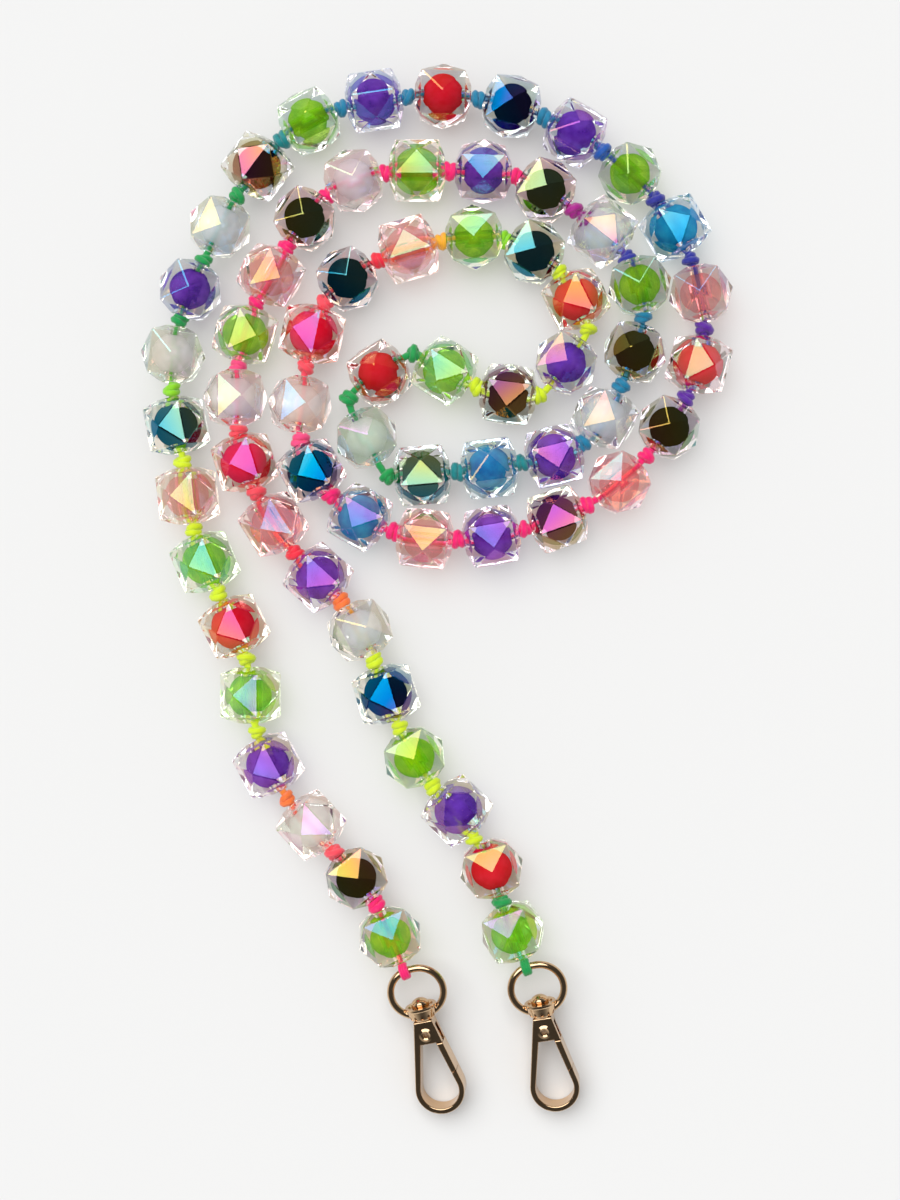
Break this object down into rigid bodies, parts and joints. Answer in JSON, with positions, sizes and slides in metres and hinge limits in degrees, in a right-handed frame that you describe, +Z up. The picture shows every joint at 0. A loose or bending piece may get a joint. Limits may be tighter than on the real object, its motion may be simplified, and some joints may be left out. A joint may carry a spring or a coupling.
{
  "type": "beaded strap with snap hooks",
  "caption": "Long strap of clear faceted beads with coloured cores, strung and knotted on a rainbow cord, with a swivel snap hook at each end.",
  "frame": {"origin": "middle of the strap as it lies, on the surface it lies on", "axes": "+Z up, +Y from the hooks towards the top of the coils, +X to the right"},
  "size_m": [0.146, 0.2597, 0.0162],
  "materials": {
    "clear_acrylic_black": "polished, iridescent coating",
    "core_black": "smooth",
    "clear_acrylic_blue": "polished, iridescent coating",
    "core_blue": "smooth",
    "clear_acrylic_green": "polished, iridescent coating",
    "core_green": "smooth",
    "clear_acrylic_pink": "polished, iridescent coating",
    "core_pink": "smooth",
    "clear_acrylic_purple": "polished, iridescent coating",
    "core_purple": "smooth",
    "clear_acrylic_red": "polished, iridescent coating",
    "core_red": "smooth",
    "clear_acrylic_white": "polished, iridescent coating",
    "core_white": "smooth",
    "cord": "twisted, dyed in bands of rainbow colour",
    "gold_metal": "polished, light gold plate",
    "spring_steel": "drawn wire"
  },
  "bodies": {
    "strand": {"strand_cord": "cord", "strand_knots": "cord", "clear_shells_black": "clear_acrylic_black", "clear_shells_blue": "clear_acrylic_blue", "clear_shells_green": "clear_acrylic_green", "clear_shells_pink": "clear_acrylic_pink", "clear_shells_purple": "clear_acrylic_purple", "clear_shells_red": "clear_acrylic_red", "clear_shells_white": "clear_acrylic_white", "cores_black": "core_black", "cores_blue": "core_blue", "cores_green": "core_green", "cores_pink": "core_pink", "cores_purple": "core_purple", "cores_red": "core_red", "cores_white": "core_white"},
    "left_tail_upper": {"left_upper_cord": "cord", "left_upper_knots": "cord"},
    "left_tail_lower": {"left_lower_cord": "cord", "left_end_loop": "cord"},
    "left_bead_1": {"left_bead_1_shell": "clear_acrylic_green", "left_bead_1_core": "core_green"},
    "left_bead_2": {"left_bead_2_shell": "clear_acrylic_black", "left_bead_2_core": "core_black"},
    "left_bead_3": {"left_bead_3_shell": "clear_acrylic_white", "left_bead_3_core": "core_white"},
    "left_ring": {"left_eye": "gold_metal"},
    "left_snap": {"left_hook": "gold_metal", "left_swivel_pin": "gold_metal", "left_gate_rivet": "gold_metal", "left_gate_spring": "spring_steel"},
    "left_gate_arm": {"left_gate": "gold_metal"},
    "right_tail_upper": {"right_upper_cord": "cord", "right_upper_knots": "cord"},
    "right_tail_lower": {"right_lower_cord": "cord", "right_end_loop": "cord"},
    "right_bead_1": {"right_bead_1_shell": "clear_acrylic_green", "right_bead_1_core": "core_green"},
    "right_bead_2": {"right_bead_2_shell": "clear_acrylic_red", "right_bead_2_core": "core_red"},
    "right_bead_3": {"right_bead_3_shell": "clear_acrylic_purple", "right_bead_3_core": "core_purple"},
    "right_ring": {"right_eye": "gold_metal"},
    "right_snap": {"right_hook": "gold_metal", "right_swivel_pin": "gold_metal", "right_gate_rivet": "gold_metal", "right_gate_spring": "spring_steel"},
    "right_gate_arm": {"right_gate": "gold_metal"}
  },
  "joints": [
    {"name": "left_tail_swing", "type": "hinge", "parent": "strand", "child": "left_tail_upper", "pos_m": [-0.037, -0.0515, 0.0078], "axis": [0, 0, 1], "range_deg": [-30, 10]},
    {"name": "left_tail_lift", "type": "hinge", "parent": "left_tail_upper", "child": "left_tail_lower", "pos_m": [-0.015, -0.0775, 0.0078], "axis": [-0.9206, -0.3905, 0], "range_deg": [0, 35]},
    {"name": "left_bead_1_spin", "type": "hinge", "parent": "left_tail_lower", "child": "left_bead_1", "pos_m": [-0.01159, -0.08553, 0.00802], "axis": [-0.3905, 0.9206, 0], "continuous": true},
    {"name": "left_bead_2_spin", "type": "hinge", "parent": "left_tail_upper", "child": "left_bead_2", "pos_m": [-0.02, -0.071, 0.00802], "axis": [-0.6097, 0.7926, 0], "continuous": true},
    {"name": "left_bead_3_spin", "type": "hinge", "parent": "left_tail_upper", "child": "left_bead_3", "pos_m": [-0.031, -0.058, 0.00756], "axis": [-0.6783, 0.7348, 0], "continuous": true},
    {"name": "left_ring_swing", "type": "hinge", "parent": "left_tail_lower", "child": "left_ring", "pos_m": [-0.008, -0.094, 0.00835], "axis": [-0.9017, -0.4209, -0.0986], "range_deg": [0, 80]},
    {"name": "left_swivel", "type": "hinge", "parent": "left_ring", "child": "left_snap", "pos_m": [-0.00328, -0.10581, 0.00657], "axis": [-0.2342, 0.9606, 0.1495], "continuous": true},
    {"name": "left_gate_hinge", "type": "hinge", "parent": "left_snap", "child": "left_gate_arm", "pos_m": [-0.00241, -0.10937, 0.00602], "axis": [0.117, 0.1805, -0.9766], "range_deg": [0, 30], "stiffness_Nm_per_rad": 0.02, "springref_deg": -28.65},
    {"name": "right_tail_swing", "type": "hinge", "parent": "strand", "child": "right_tail_upper", "pos_m": [-0.001, -0.0485, 0.0078], "axis": [0, 0, 1], "range_deg": [-10, 30]},
    {"name": "right_tail_lift", "type": "hinge", "parent": "right_tail_upper", "child": "right_tail_lower", "pos_m": [0.016, -0.077, 0.0078], "axis": [-0.9363, -0.3511, 0], "range_deg": [0, 35]},
    {"name": "right_bead_1_spin", "type": "hinge", "parent": "right_tail_lower", "child": "right_bead_1", "pos_m": [0.01877, -0.08439, 0.00798], "axis": [0.3511, -0.9363, 0], "continuous": true},
    {"name": "right_bead_2_spin", "type": "hinge", "parent": "right_tail_upper", "child": "right_bead_2", "pos_m": [0.0135, -0.06875, 0.0081], "axis": [0.29, -0.957, 0], "continuous": true},
    {"name": "right_bead_3_spin", "type": "hinge", "parent": "right_tail_upper", "child": "right_bead_3", "pos_m": [0.005, -0.0545, 0.00747], "axis": [0.7071, -0.7071, 0], "continuous": true},
    {"name": "right_ring_swing", "type": "hinge", "parent": "right_tail_lower", "child": "right_ring", "pos_m": [0.022, -0.093, 0.00835], "axis": [-0.9246, -0.3753, -0.0648], "range_deg": [0, 80]},
    {"name": "right_swivel", "type": "hinge", "parent": "right_ring", "child": "right_snap", "pos_m": [0.02606, -0.10505, 0.00651], "axis": [-0.1802, 0.9722, 0.1495], "continuous": true},
    {"name": "right_gate_hinge", "type": "hinge", "parent": "right_snap", "child": "right_gate_arm", "pos_m": [0.02673, -0.10864, 0.00596], "axis": [0.0757, 0.1653, -0.9833], "range_deg": [0, 30], "stiffness_Nm_per_rad": 0.02, "springref_deg": -28.65}
  ]
}
